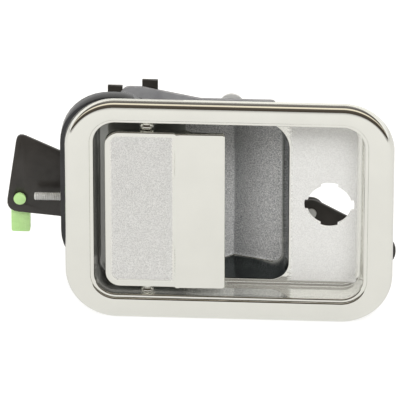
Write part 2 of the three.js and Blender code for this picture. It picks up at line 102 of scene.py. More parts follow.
def smin(a, b, r):
    """The lower of two heights, with a fillet about r wide where they meet."""
    h = max(r - abs(a - b), 0.0) / r
    return min(a, b) - h * h * r / 4


def smax(a, b, r):
    return -smin(-a, -b, r)


def rounded_loop(x0, x1, z0, z1, radii, step, counts=None):
    """Points round a rectangle whose corner radii are given from right-top round to right-bottom.

    counts keeps the number of points the same on every loop of one skin.
    """
    rt, lt, lb, rb = radii
    corners = [
        (x1 - rt, z1 - rt, rt, 0),
        (x0 + lt, z1 - lt, lt, 90),
        (x0 + lb, z0 + lb, lb, 180),
        (x1 - rb, z0 + rb, rb, 270),
    ]
    if counts is None:
        arcs = [max(4, round(math.pi / 2 * r / step)) for r in radii]
        sides = [(x1 - x0) - rt - lt, (z1 - z0) - lt - lb, (x1 - x0) - lb - rb, (z1 - z0) - rb - rt]
        counts = arcs + [max(2, round(s / step)) for s in sides]
    points = []
    for k, (cx, cz, r, start) in enumerate(corners):
        for i in range(counts[k] + 1):
            a = math.radians(start + 90 * i / counts[k])
            points.append((cx + r * math.cos(a), cz + r * math.sin(a)))
        nx, nz, nr, nstart = corners[(k + 1) % 4]
        end = points[-1]
        a = math.radians(nstart)
        goal = (nx + nr * math.cos(a), nz + nr * math.sin(a))
        n = counts[4 + k]
        for i in range(1, n):
            points.append((end[0] + (goal[0] - end[0]) * i / n, end[1] + (goal[1] - end[1]) * i / n))
    return points, counts


def new_object(name, verts, faces, body, mats):
    mesh = bpy.data.meshes.new(name)
    mesh.from_pydata([metres(*v) for v in verts], [], faces)
    mesh.validate()
    mesh.update()
    obj = bpy.data.objects.new(name, mesh)
    bpy.context.scene.collection.objects.link(obj)
    for m in mats:
        mesh.materials.append(m)
    mesh.polygons.foreach_set("use_smooth", [True] * len(mesh.polygons))
    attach(obj, body)
    return obj


def skin_from_loops(loops, closed=False):
    """Quads between loops of equal count, with a fan over each end of a closed skin."""
    n = len(loops[0])
    verts = [p for loop in loops for p in loop]
    faces = []
    for k in range(len(loops) - 1):
        for i in range(n):
            a, b = k * n + i, k * n + (i + 1) % n
            faces.append((a, b, b + n, a + n))
    if closed:
        base = (len(loops) - 1) * n
        for loop in (loops[-1], loops[0]):
            verts.append(tuple(sum(c) / n for c in zip(*loop)))
        faces += [(base + (i + 1) % n, len(verts) - 2, base + i) for i in range(n)]
        faces += [(i, len(verts) - 1, (i + 1) % n) for i in range(n)]
    return verts, faces


def mark(obj, name, test):
    """A value at each vertex, for a material to read."""
    layer = obj.data.attributes.new(name, "FLOAT", "POINT")
    values = [test(*(v.co / MM + ORIGIN)) for v in obj.data.vertices]
    layer.data.foreach_set("value", values)


def apply_modifiers(obj):
    dg = bpy.context.evaluated_depsgraph_get()
    shaped = obj.evaluated_get(dg)
    mesh = bpy.data.meshes.new_from_object(shaped, preserve_all_data_layers=True, depsgraph=dg)
    obj.modifiers.clear()
    obj.data = mesh


# ---- materials: noise scales are cells per metre, bump heights are metres ----
PEEL_HEIGHT, GRAIN_HEIGHT = 0.0004, 0.0002
PATINA, POLISH, PEEL = 60, 180, 90
# The last scale sets the patches of the painted shade's dark tint.
STIPPLE_GLOSS, FINE_STIPPLE, DEEP_STIPPLE, STIPPLE_BUMP, PAINTED_SHADE_PATCHES = 900, 2400, 2100, 1700, 40
# How much less each kind of surface mirrors than bare chrome.
STIPPLE_LOSS, MATT_LOSS, HAZE_LOSS = 0.45, 0.6, 0.25


def node_material(name, build):
    mat = bpy.data.materials.new(name)
    mat.use_nodes = True
    nodes, links = mat.node_tree.nodes, mat.node_tree.links
    bsdf = nodes["Principled BSDF"]
    build(nodes, links, bsdf)
    return mat


def coords(nodes):
    return nodes.new("ShaderNodeTexCoord").outputs["Object"]


def noise(nodes, links, scale, detail, roughness=0.5):
    n = nodes.new("ShaderNodeTexNoise")
    n.inputs["Scale"].default_value = scale
    n.inputs["Detail"].default_value = detail
    n.inputs["Roughness"].default_value = roughness
    links.new(coords(nodes), n.inputs["Vector"])
    return n.outputs["Fac"]


def ramp(nodes, links, value, low, high, start, end):
    """Two greys or colours, blended as the value goes from start to end."""
    r = nodes.new("ShaderNodeValToRGB")
    r.color_ramp.elements[0].position = start
    r.color_ramp.elements[1].position = end
    r.color_ramp.elements[0].color = (*low, 1) if isinstance(low, tuple) else (low, low, low, 1)
    r.color_ramp.elements[1].color = (*high, 1) if isinstance(high, tuple) else (high, high, high, 1)
    links.new(value, r.inputs["Fac"])
    return r.outputs["Color"]


def bump(nodes, links, bsdf, height, strength, distance):
    b = nodes.new("ShaderNodeBump")
    b.inputs["Strength"].default_value = strength
    b.inputs["Distance"].default_value = distance
    links.new(height, b.inputs["Height"])
    links.new(b.outputs["Normal"], bsdf.inputs["Normal"])


def mixed(nodes, links, factor, low, high, blend="MIX"):
    mix = nodes.new("ShaderNodeMix")
    mix.data_type = "RGBA"
    mix.blend_type = blend
    links.new(factor, mix.inputs["Factor"])
    links.new(low, mix.inputs["A"])
    links.new(high, mix.inputs["B"])
    return mix.outputs["Result"]


def attribute_value(nodes, name):
    attribute = nodes.new("ShaderNodeAttribute")
    attribute.attribute_name = name
    return attribute.outputs["Fac"]


def less(nodes, links, value, amount, share):
    """The value, or 1 where there is none, less a share of the amount."""
    node = nodes.new("ShaderNodeMath")
    node.operation = "MULTIPLY_ADD"
    node.use_clamp = True
    links.new(amount, node.inputs[0])
    node.inputs[1].default_value = -share
    node.inputs[2].default_value = 1.0
    if value:
        links.new(value, node.inputs[2])
    return node.outputs[0]


def over_one(nodes, links, value):
    """How much a value is over 1, from 0 to 1."""
    node = nodes.new("ShaderNodeMath")
    node.operation = "SUBTRACT"
    node.use_clamp = True
    links.new(value, node.inputs[0])
    node.inputs[1].default_value = 1.0
    return node.outputs[0]


def chrome(name, grain_low=None):
    """Bright plating with a faint haze and orange peel.

    With a grain_low, which is how dark the fine stipple's hollows are, it also reads four vertex values:
    stipple (over 1 for a coarse grain), painted shade with its painted highlight line, matt and haze.
    """
    tint = (0.93, 0.93, 0.875)
    low = tuple(c * 0.97 for c in tint)

    def build(nodes, links, bsdf):
        bsdf.inputs["Metallic"].default_value = 1.0
        plain = ramp(nodes, links, noise(nodes, links, PATINA, 2), low, tint, 0.3, 0.7)
        smooth_rough = ramp(nodes, links, noise(nodes, links, POLISH, 4), 0.035, 0.085, 0.35, 0.75)
        if grain_low is None:
            links.new(plain, bsdf.inputs["Base Color"])
            links.new(smooth_rough, bsdf.inputs["Roughness"])
            bump(nodes, links, bsdf, noise(nodes, links, PEEL, 1), 0.02, PEEL_HEIGHT)
            return
        mask = attribute_value(nodes, "stipple")
        stipple_rough = ramp(nodes, links, noise(nodes, links, STIPPLE_GLOSS, 2), 0.30, 0.42, 0.35, 0.7)
        links.new(mixed(nodes, links, mask, smooth_rough, stipple_rough), bsdf.inputs["Roughness"])
        hollow = (grain_low, grain_low, grain_low * 0.975)
        fine = noise(nodes, links, FINE_STIPPLE, 2, 0.6)
        fine = ramp(nodes, links, fine, hollow, (0.99, 0.99, 0.97), 0.40, 0.60)
        deep = noise(nodes, links, DEEP_STIPPLE, 2, 0.6)
        deep = ramp(nodes, links, deep, (0.40, 0.41, 0.42), (1.0, 1.0, 0.99), 0.40, 0.60)
        colour = mixed(nodes, links, mask, plain, fine)
        colour = mixed(nodes, links, over_one(nodes, links, mask), colour, deep)
        # Painted shade: a patchy dark tint that the painted shade value multiplies into the colour, so the
        # recess looks shadowed.
        dark = noise(nodes, links, PAINTED_SHADE_PATCHES, 3)
        dark = ramp(nodes, links, dark, (0.04, 0.048, 0.055), (0.13, 0.145, 0.155), 0.35, 0.7)
        shade = attribute_value(nodes, "shade")
        links.new(mixed(nodes, links, shade, colour, dark, "MULTIPLY"), bsdf.inputs["Base Color"])
        # Stippled, shaded and deep areas scatter more light, so they mirror less.
        mirror = less(nodes, links, None, mask, STIPPLE_LOSS)
        mirror = less(nodes, links, mirror, attribute_value(nodes, "matt"), MATT_LOSS)
        mirror = less(nodes, links, mirror, attribute_value(nodes, "haze"), HAZE_LOSS)
        links.new(mirror, bsdf.inputs["Metallic"])
        height = nodes.new("ShaderNodeMath")
        height.operation = "MULTIPLY"
        links.new(noise(nodes, links, STIPPLE_BUMP, 2, 0.6), height.inputs[0])
        links.new(mask, height.inputs[1])
        bump(nodes, links, bsdf, height.outputs[0], 0.7, PEEL_HEIGHT)
    return node_material(name, build)


def plated(name, tint, gloss):
    """A bare metal plating; gloss is its lowest and highest roughness."""
    grain, strength = 700, 0.1

    def build(nodes, links, bsdf):
        bsdf.inputs["Metallic"].default_value = 1.0
        low = tuple(c * 0.82 for c in tint)
        colour = ramp(nodes, links, noise(nodes, links, 140, 4), low, tint, 0.3, 0.7)
        links.new(colour, bsdf.inputs["Base Color"])
        rough = ramp(nodes, links, noise(nodes, links, 320, 3), *gloss, 0.3, 0.7)
        links.new(rough, bsdf.inputs["Roughness"])
        bump(nodes, links, bsdf, noise(nodes, links, grain, 3), strength, GRAIN_HEIGHT)
    return node_material(name, build)


def painted(name, dark, light, gloss, grain=900, strength=0.12):
    """Paint, rubber or plastic: colour, gloss and a fine moulded grain all vary a little."""
    def build(nodes, links, bsdf):
        colour = ramp(nodes, links, noise(nodes, links, 90, 5), dark, light, 0.3, 0.75)
        links.new(colour, bsdf.inputs["Base Color"])
        rough = ramp(nodes, links, noise(nodes, links, 260, 3), *gloss, 0.3, 0.7)
        links.new(rough, bsdf.inputs["Roughness"])
        bump(nodes, links, bsdf, noise(nodes, links, grain, 4), strength, GRAIN_HEIGHT)
    return node_material(name, build)


CHROME = chrome("bright_chrome")
CASTING = chrome("chrome_casting", 0.78)
PADDLE = chrome("chrome_paddle", 0.66)
BRACKET = painted("satin_zinc", (0.25, 0.25, 0.26), (0.36, 0.36, 0.37), (0.34, 0.46), 700, 0.1)
STEEL = plated("bright_zinc_steel", (0.80, 0.80, 0.79), (0.18, 0.3))
BRIGHT = painted("bright_thread", (0.60, 0.60, 0.58), (0.78, 0.78, 0.76), (0.2, 0.32), 900, 0.1)
RIVET = painted("rivet_zinc", (0.42, 0.42, 0.41), (0.60, 0.60, 0.58), (0.28, 0.4), 900, 0.2)
DARK_STEEL = plated("dark_plated_steel", (0.36, 0.36, 0.38), (0.2, 0.32))
BLACK = painted("black_electrocoat", (0.026, 0.023, 0.020), (0.046, 0.041, 0.036), (0.30, 0.42), 500, 0.08)
RUBBER = painted("black_rubber", (0.016, 0.017, 0.019), (0.032, 0.033, 0.035), (0.06, 0.16))
GREEN = painted("green_plastic", (0.56, 0.92, 0.34), (0.66, 0.97, 0.44), (0.22, 0.34), 600, 0.06)
NYLON = painted("nylon", (0.70, 0.69, 0.62), (0.80, 0.79, 0.72), (0.35, 0.5))


# ---- housing ----
def mouth_distance(x, z):
    """How far a point is inside the finger pocket's mouth, whose right corners are round."""
    radius = MOUTH_RADII[0] if z > 0 else MOUTH_RADII[3]
    dx = POCKET_RIGHT - x
    dz = POCKET_TOP - z if z > 0 else z - POCKET_BOTTOM
    if dx < radius and dz < radius:
        return radius - math.hypot(radius - dx, radius - dz)
    return min(dx, dz)


def pocket_parts(x, z):
    """The heights of the finger pocket's floor and of its wall."""
    ramp_y = WELL_Y + (x - POCKET_LEFT) * (DEEP_Y - WELL_Y) / (DEEP_X - POCKET_LEFT)
    shelf_y = DEEP_Y - (x - DEEP_X) * SHELF_SLOPE
    bed = smin(ramp_y, shelf_y, 0.6)
    wall = PANEL_Y + mouth_distance(x, z) * WALL_SLOPE
    return bed, wall


def floor_y(x, z):
    """The height of the housing's floor: the well, the finger pocket and the lock panel."""
    bed, wall = pocket_parts(x, z)
    base = WELL_Y + (PANEL_Y - WELL_Y) * smooth(POCKET_LEFT, POCKET_LEFT + 3, x)
    return smax(base, smin(bed, wall, 5.0), 1.2)


def stippled_floor(x, y, z):
    """1 on the lock panel, over 1 on the pocket's floor where the stipple is coarse, 0 on smooth chrome."""
    margin, border, coarse = 3.6, 0.8, 2.4
    if y < PANEL_Y - 0.6:
        return 0.0
    if x > POCKET_RIGHT + 0.4:
        if mouth_distance(x, z) >= -0.2:
            return 0.0
        inside_x = min(x - POCKET_RIGHT - 0.4, OPEN_W / 2 - margin - x)
        inside_z = min(OPEN_Z + OPEN_H / 2 - margin + 0.2 - z, z - (OPEN_Z - OPEN_H / 2) - margin)
        return smooth(0.0, border, min(inside_x, inside_z))
    if x < POCKET_LEFT:
        return 0.0
    bed, wall = pocket_parts(x, z)
    return coarse * smooth(FILLET_FROM, FILLET_TO, wall - bed)


def painted_recess_shade(x, y, z):
    """Painted shade: how far the recess's colour is darkened, at the left of the well and in the pocket,
    whose walls are painted darkest.
    """
    # Painted shade amounts for the well, the pocket floor's ramp and shelf, and the walls, then the strength
    # of the painted highlight.
    well, slope, shelf, shelf_fall, walls, painted_glint = 0.62, 0.16, 0.58, 0.56, 0.97, 0.9
    if y < -2.0:
        return 0.0
    if x < POCKET_LEFT:
        return well * smooth(-2.0, 1.0, y)
    if x > POCKET_RIGHT + 0.3 or mouth_distance(x, z) < -0.3:
        return 0.0
    bed, wall = pocket_parts(x, z)
    rise = wall - bed
    # Painted shade on the pocket's floor: light on the ramp, darkest just right of the deep crease, lighter
    # towards the right.
    floor = slope if x < DEEP_X else shelf - shelf_fall * smooth(DEEP_X - 2, POCKET_RIGHT - 6, x)
    shade = floor + (walls - floor) * (1 - smooth(FILLET_FROM, FILLET_TO, rise))
    # Painted highlight: the fillet round the pocket's floor gets less painted shade, a lighter line, widest
    # at the lower right corner.
    width = 0.8 + 1.8 * smooth(-8.0, -38.0, z) * smooth(12.0, 26.0, x)
    return shade * (1 - painted_glint * math.exp(-((rise - FILLET_FROM) / width) ** 2))


def in_mouth(x, z):
    return POCKET_LEFT < x < POCKET_RIGHT + 0.6 and mouth_distance(x, z) > -0.4


def matt_share(x, y, z):
    """Where the recess is matt: the left of the well fully, the stipple a little."""
    return painted_recess_shade(x, y, z) if x < POCKET_LEFT else 0.3 * stippled_floor(x, y, z)


def haze_share(x, y, z):
    """The lip's inner part and the recess are hazy, but not the pocket."""
    return 0.0 if in_mouth(x, z) else smooth(-4.5, -1.5, y)


def mouth_loop(inset, counts):
    """The pocket's mouth moved inwards by the inset."""
    radii = [max(r - inset, 0.2) for r in MOUTH_RADII]
    box = (POCKET_LEFT + inset, POCKET_RIGHT - inset, POCKET_BOTTOM + inset, POCKET_TOP - inset)
    points, _ = rounded_loop(*box, radii, MESH_STEP, counts)
    return points


def weld(obj):
    bm = bmesh.new()
    bm.from_mesh(obj.data)
    bmesh.ops.remove_doubles(bm, verts=bm.verts, dist=1e-6)
    bm.to_mesh(obj.data)
    bm.free()


def build_casting():
    """The housing's front skin, from the bezel's outer edge over its face and lip down into the pocket."""
    loops = []
    half_w, half_h = BEZEL_W / 2, BEZEL_H / 2
    _, counts = rounded_loop(-half_w, half_w, -half_h, half_h, [BEZEL_R] * 4, MESH_STEP)

    def ring(x0, x1, z0, z1, r, y):
        points, _ = rounded_loop(x0, x1, z0, z1, [r] * 4, MESH_STEP, counts)
        loops.append([(x, y(x, z) if callable(y) else y, z) for x, z in points])

    def outer(inset, y):
        ring(-half_w + inset, half_w - inset, -half_h + inset, half_h - inset, BEZEL_R - inset, y)

    def inner(grow, y):
        w, h = OPEN_W / 2 + grow, OPEN_H / 2 + grow
        ring(-w, w, OPEN_Z - h, OPEN_Z + h, OPEN_R + grow, y)

    round_steps, face_steps, wall_steps, spread = 14, 8, 6, 22
    for i in range(round_steps + 1):
        a = math.pi / 2 * i / round_steps
        outer(OUTER_ROUND * (1 - math.cos(a)), -PROUD * math.sin(a))
    # The bezel's face is very slightly crowned between its outer round and its lip.
    for i in range(1, face_steps):
        t = i / face_steps
        x0 = half_w - OUTER_ROUND + (OPEN_W / 2 + LIP - half_w + OUTER_ROUND) * t
        z1 = half_h - OUTER_ROUND + (OPEN_Z + OPEN_H / 2 + LIP - half_h + OUTER_ROUND) * t
        z0 = -half_h + OUTER_ROUND + (OPEN_Z - OPEN_H / 2 - LIP + half_h - OUTER_ROUND) * t
        r = BEZEL_R - OUTER_ROUND + (OPEN_R + LIP - BEZEL_R + OUTER_ROUND) * t
        ring(-x0, x0, z0, z1, r, -PROUD - CROWN * math.sin(math.pi * t))
    # The lip is two rounds with a narrow ledge between them.
    grow, y = LIP, -PROUD
    for r, steps in LIP_ROUNDS:
        for i in range(steps + 1):
            a = math.pi / 2 * i / steps
            inner(grow - r * math.sin(a), y + r * (1 - math.cos(a)))
        y += r + LIP_RISER
        inner(grow - r, y)
        grow -= r + LIP_LEDGE
    inner(0.0, LIP - PROUD)
    # Wall with a little draft, then a fillet onto the floor.
    for i in range(1, wall_steps + 1):
        t = i / wall_steps
        inner(-DRAFT * t, LIP - PROUD + (PANEL_Y - FLOOR_FILLET - LIP + PROUD) * t)
    for i in range(1, wall_steps + 1):
        a = math.pi / 2 * i / wall_steps
        drop = FLOOR_FILLET * (1 - math.sin(a))
        inner(-DRAFT - FLOOR_FILLET * (1 - math.cos(a)),
              lambda x, z, d=drop: max(PANEL_Y - d, floor_y(x, z) - d))
    # The floor from the wall's fillet to the pocket's mouth, then down into the pocket.
    w, h, inset = OPEN_W / 2, OPEN_H / 2, DRAFT + FLOOR_FILLET
    edge, _ = rounded_loop(-w + inset, w - inset, OPEN_Z - h + inset, OPEN_Z + h - inset,
                           [OPEN_R - inset] * 4, MESH_STEP, counts)
    outer_lip = -0.8
    mouth = mouth_loop(outer_lip, counts)
    for i in range(1, spread):
        t = i / spread
        points = [(ex + (mx - ex) * t, ez + (mz - ez) * t) for (ex, ez), (mx, mz) in zip(edge, mouth)]
        loops.append([(x, floor_y(x, z), z) for x, z in points])
    # The loops lie close together on the pocket's wall and fillet, and wider on its floor.
    wall_wide, close, wide = 7, 0.2, 0.8
    inset = outer_lip
    half = (POCKET_RIGHT - POCKET_LEFT) / 2
    while inset < half - wide / 2:
        loops.append([(x, floor_y(x, z), z) for x, z in mouth_loop(inset, counts)])
        inset += close if inset < wall_wide else wide
    middle = (POCKET_LEFT + POCKET_RIGHT) / 2
    loops.append([(middle, floor_y(middle, z), z) for x, z in mouth_loop(inset, counts)])
    verts, faces = skin_from_loops(loops)
    obj = new_object("housing_shell", verts, faces, "housing", [CASTING])
    weld(obj)
    return obj


def prism(points, y0, y1):
    """A closed prism along Y over an outline in X and Z, used as a cutter."""
    n = len(points)
    verts = [(x, y, z) for y in (y0, y1) for x, z in points]
    faces = [tuple(range(n)), tuple(range(2 * n - 1, n - 1, -1))]
    faces += [(i, i + n, (i + 1) % n + n, (i + 1) % n) for i in range(n)]
    mesh = bpy.data.meshes.new("cutter")
    mesh.from_pydata([metres(*v) for v in verts], [], faces)
    bm = bmesh.new()
    bm.from_mesh(mesh)
    bmesh.ops.recalc_face_normals(bm, faces=bm.faces)
    bm.to_mesh(mesh)
    bm.free()
    obj = bpy.data.objects.new("cutter", mesh)
    bpy.context.scene.collection.objects.link(obj)
    return obj


def lock_hole_outline():
    """A round hole with four shallow notches."""
    points = []
    count = 240
    for i in range(count):
        a = 2 * math.pi * i / count
        c, s = abs(math.cos(a)), abs(math.sin(a))
        in_notch = NOTCH_R * c < NOTCH_WIDE / 2 or NOTCH_R * s < NOTCH_TALL / 2
        r = NOTCH_R if in_notch else LOCK_R
        points.append((LOCK_X + r * math.cos(a), LOCK_Z + r * math.sin(a)))
    return points


def cut_with(obj, cutters):
    for c in cutters:
        m = obj.modifiers.new("cut", "BOOLEAN")
        m.operation = "DIFFERENCE"
        m.solver = "EXACT"
        m.object = c
    apply_modifiers(obj)
    for c in cutters:
        bpy.data.objects.remove(c)


TURNED_SIDES = 48


def circle(r, sides):
    angles = [2 * math.pi * i / sides for i in range(sides)]
    return [(r * math.cos(a), r * math.sin(a)) for a in angles]


def turned_z(profile, x, y):
    """Loops of a turned shape whose axis is along Z; the profile is [(z, r), ...]."""
    return [[(x + u, y + v, z) for u, v in circle(r, TURNED_SIDES)] for z, r in profile]


def turned_y(profile, x, z):
    """Loops of a turned shape whose axis is along Y; the profile is [(y, r), ...]."""
    return [[(x + u, y, z + v) for u, v in circle(r, TURNED_SIDES)] for y, r in profile]


def tube_z(x, y, r, z0, z1):
    """Loops of a round boss along Z with softened ends."""
    soft = 0.4
    part = 0.3 * soft
    profile = [(z0, r - soft), (z0 + part, r - part), (z0 + soft, r),
               (z1 - soft, r), (z1 - part, r - part), (z1, r - soft)]
    return turned_z(profile, x, y)


def closed_skin(name, loops, body, mats):
    verts, faces = skin_from_loops(loops, closed=True)
    obj = new_object(name, verts, faces, body, mats)
    bm = bmesh.new()
    bm.from_mesh(obj.data)
    bmesh.ops.recalc_face_normals(bm, faces=bm.faces)
    bm.to_mesh(obj.data)
    bm.free()
    return obj


def sharpen(obj, angle):
    """Smooth shading that keeps edges sharper than the angle."""
    limit = math.radians(angle)
    bm = bmesh.new()
    bm.from_mesh(obj.data)
    for f in bm.faces:
        f.smooth = True
    for e in bm.edges:
        e.smooth = not (len(e.link_faces) == 2 and e.calc_face_angle(0) > limit)
    bm.to_mesh(obj.data)
    bm.free()


def box_tool(x0, x1, y0, y1, z0, z1):
    return prism([(x0, z0), (x1, z0), (x1, z1), (x0, z1)], y0, y1)


def finish_casting():
    """Give the skin its thickness, cut the lock hole and the arm's slot, and mark its surfaces."""
    crease = 48
    shell = build_casting()
    solid = shell.modifiers.new("thickness", "SOLIDIFY")
    solid.thickness = SKIN * MM
    solid.offset = -1
    solid.use_even_offset = False
    solid.use_rim = True
    apply_modifiers(shell)
    arm_lo, arm_hi = cad_box("paddle_arm")
    slot = box_tool(arm_lo.x - 1, SLOT_RIGHT, WELL_Y - 3, WELL_Y + 6, arm_lo.z - 1, arm_hi.z + 1)
    cut_with(shell, [prism(lock_hole_outline(), PANEL_Y - 4, PANEL_Y + 6), slot])
    sharpen(shell, crease)
    mark(shell, "stipple", stippled_floor)
    # Painted shade and a painted highlight line for the recess, stored as a vertex value.
    mark(shell, "shade", painted_recess_shade)
    mark(shell, "matt", matt_share)
    mark(shell, "haze", haze_share)
    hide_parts("housing_casting")


def build_knuckles():
    """The two fixed hinge knuckles, each with a groove round it."""
    groove, chamfer, gap = 0.5, 0.3, 0.5
    lo, hi = cad_box("paddle")
    top = OPEN_Z + OPEN_H / 2 + 1
    bottom = OPEN_Z - OPEN_H / 2 - 1
    for name, wall, face in (("hinge_knuckle_upper", top, hi.z + gap),
                             ("hinge_knuckle_lower", bottom, lo.z - gap)):
        out = 1 if face > wall else -1
        profile = [(wall, BOSS_R), (wall + 2.6 * out, BOSS_R), (wall + 2.9 * out, BOSS_R - groove),
                   (wall + 3.5 * out, BOSS_R - groove), (wall + 3.8 * out, BOSS_R),
                   (face - chamfer * out, BOSS_R), (face, BOSS_R - 0.4)]
        closed_skin(name, turned_z(profile, HINGE_X, HINGE_Y), "housing", [CHROME])


def build_bosses():
    """The tapered bosses that the bracket screws go into, each with an open hole at its end."""
    end, hole = 28.5, 2.3
    for i in range(4):
        s_lo, s_hi = cad_box(f"bracket_screw_{i + 1}")
        x, z = (s_lo.x + s_hi.x) / 2, (s_lo.z + s_hi.z) / 2
        start = floor_y(x, z) + SKIN - 0.8
        profile = [(start, 5.6), (start + 1.2, 4.9), (end - 0.4, 4.5), (end, 4.1), (end, hole),
                   (end - 0.9, hole - 0.1)]
        closed_skin(f"screw_boss_{i + 1}", turned_y(profile, x, z), "housing", [CHROME])


# ---- paddle ----
def paddle_front(x):
    """Front of the paddle: a flat panel, a low bright ridge, then a grip that falls away a little."""
    rise, fall, grip_fall = 1.4, 0.45, 0.3
    ridge = PADDLE_FACE - rise * smooth(-29.8, -28.4, x)
    return ridge + fall * smooth(-27.4, -26.2, x) + grip_fall * smooth(-24, PADDLE_RIGHT, x)


def paddle_back(x):
    """The grip is thicker than the panel."""
    return -2.4 * smooth(-24, -19, x)


def panel_recess(x, z):
    """1 inside the paddle's stippled panel, 0 on its smooth rim."""
    x0, x1, z0, z1 = -63.6, -30.6, PADDLE_BOTTOM + 4.4, PADDLE_TOP - 2.8
    r, border = 4.0, 0.35
    dx = min(x - x0, x1 - x)
    dz = min(z - z0, z1 - z)
    round_corner = x < -50 and dx < r and dz < r
    inside = r - math.hypot(r - dx, r - dz) if round_corner else min(dx, dz)
    return smooth(-border, border, inside)


def paddle_stipple(x, y, z):
    on_front = y < paddle_front(x) + 0.8
    return panel_recess(x, z) if on_front else 0.0


def build_paddle():
    step, edge_steps, side_steps, back_chamfer = 0.8, 8, 3, 0.5
    _, counts = rounded_loop(PADDLE_LEFT, PADDLE_RIGHT, PADDLE_BOTTOM, PADDLE_TOP, PADDLE_RADII, step)

    def loop(inset, y):
        r = [max(k - inset, 0.25) for k in PADDLE_RADII]
        points, _ = rounded_loop(PADDLE_LEFT + inset, PADDLE_RIGHT - inset, PADDLE_BOTTOM + inset,
                                 PADDLE_TOP - inset, r, step, counts)
        return [(x, y(x, z), z) for x, z in points]

    loops = []
    depth = (PADDLE_RIGHT - PADDLE_LEFT) / 2 - 0.4
    inset = depth
    while inset > PADDLE_EDGE:
        loops.append(loop(inset, lambda x, z: paddle_front(x) + PANEL_DEPTH * panel_recess(x, z)))
        inset -= step
    for i in range(edge_steps + 1):
        a = math.pi / 2 * i / edge_steps
        lift = PADDLE_EDGE * (1 - math.cos(a))
        loops.append(loop(PADDLE_EDGE * (1 - math.sin(a)), lambda x, z, k=lift: paddle_front(x) + k))
    for i in range(1, side_steps + 1):
        t = i / side_steps
        loops.append(loop(0, lambda x, z, k=t: (paddle_front(x) + PADDLE_EDGE) * (1 - k)
                          + (paddle_back(x) - back_chamfer) * k))
    loops.append(loop(back_chamfer, lambda x, z: paddle_back(x)))
    for d in range(1, int(depth)):
        loops.append(loop(float(d), lambda x, z: paddle_back(x)))
    plate = closed_skin("paddle_plate", loops, "paddle", [PADDLE])
    mark(plate, "stipple", paddle_stipple)
    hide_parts("paddle")
    for name, z0, z1 in (("paddle_barrel_upper", 36.4, PADDLE_TOP - 0.3), ("paddle_barrel_middle", -2.2, 7.6),
                         ("paddle_barrel_lower", PADDLE_BOTTOM + 0.3, -15.8)):
        closed_skin(name, tube_z(HINGE_X, HINGE_Y, BOSS_R, z0, z1), "paddle", [CHROME])


# ---- threads, screws and springs ----
def threaded_bar(name, node, axis, body, pitch, depth, look):
    """A bar with a real helical thread and chamfered ends, in place of a plain CAD bar along X or Y."""
    sides, per_pitch, chamfer = 28, 10, 0.7
    lo, hi = cad_box(node)
    centre = (lo + hi) / 2
    across = 1 - axis
    outer = (hi[across] - lo[across]) / 2
    start, end = lo[axis], hi[axis]
    count = int((end - start) / (pitch / per_pitch))
    loops = []
    for k in range(count + 1):
        at = start + (end - start) * k / count
        limit = outer - chamfer + min(at - start, end - at, chamfer)
        loop = []
        for i in range(sides):
            a = 2 * math.pi * i / sides
            phase = (at / pitch + i / sides) % 1.0
            r = min(limit, outer - depth * abs(2 * phase - 1))
            point = [0.0, 0.0, centre.z + r * math.sin(a)]
            point[axis] = at
            point[across] = centre[across] + r * math.cos(a)
            loop.append(tuple(point))
        loops.append(loop)
    obj = closed_skin(name, loops, body, [look])
    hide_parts(node)


def build_screw(number):
    """A domed screw with a cross recess; the large one is brighter and has a hexagon socket."""
    large = number == 2
    node = f"bracket_screw_{number}"
    lo, hi = cad_box(node)
    x, z, r = (lo.x + hi.x) / 2, (lo.z + hi.z) / 2, (hi.x - lo.x) / 2
    shank, tip, under, soft = 2.0, 1.5, hi.y - 2.2, 0.25
    profile = [(lo.y, tip), (lo.y + 0.5, shank), (under, shank), (under, r - soft), (under + soft, r),
               (hi.y - 1.3, r), (hi.y - 0.75, r * 0.95), (hi.y - 0.3, r * 0.82), (hi.y - 0.08, r * 0.62),
               (hi.y, r * 0.4)]
    look = BRIGHT if large else DARK_STEEL
    obj = closed_skin(node + "_turned", turned_y(profile, x, z), "housing", [look])
    above = hi.y + 1
    if large:
        socket_r, deep = 3.0, 1.5
        tools = [prism([(x + u, z + v) for u, v in circle(socket_r, 6)], hi.y - deep, above)]
    else:
        reach, half, deep = r * 0.55, 0.5, 1.3
        tools = [box_tool(x - reach, x + reach, hi.y - deep, above, z - half, z + half),
                 box_tool(x - half, x + half, hi.y - deep, above, z - reach, z + reach)]
    cut_with(obj, tools)
    sharpen(obj, 30)
    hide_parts(node)


def wire_tube(name, path, r, body, node):
    """A round wire along a list of points, in place of a CAD spring."""
    sides = 10
    points = [Vector(p) for p in path]
    loops = []
    side = None
    for i, p in enumerate(points):
        ahead = (points[min(i + 1, len(points) - 1)] - points[max(i - 1, 0)]).normalized()
        if side is None:
            side = ahead.orthogonal().normalized()
        side = (side - ahead * side.dot(ahead)).normalized()
        other = ahead.cross(side)
        loops.append([tuple(p + side * u + other * v) for u, v in circle(r, sides)])
    obj = closed_skin(name, loops, body, [STEEL])
    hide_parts(node)


def coil(cx, cy, radius, start, end, turns, count):
    """Points up a coil: two coordinates round its axis and one along it."""
    path = []
    for i in range(count + 1):
        a = 2 * math.pi * turns * i / count
        path.append((cx + radius * math.cos(a), cy + radius * math.sin(a), start + (end - start) * i / count))
    return path


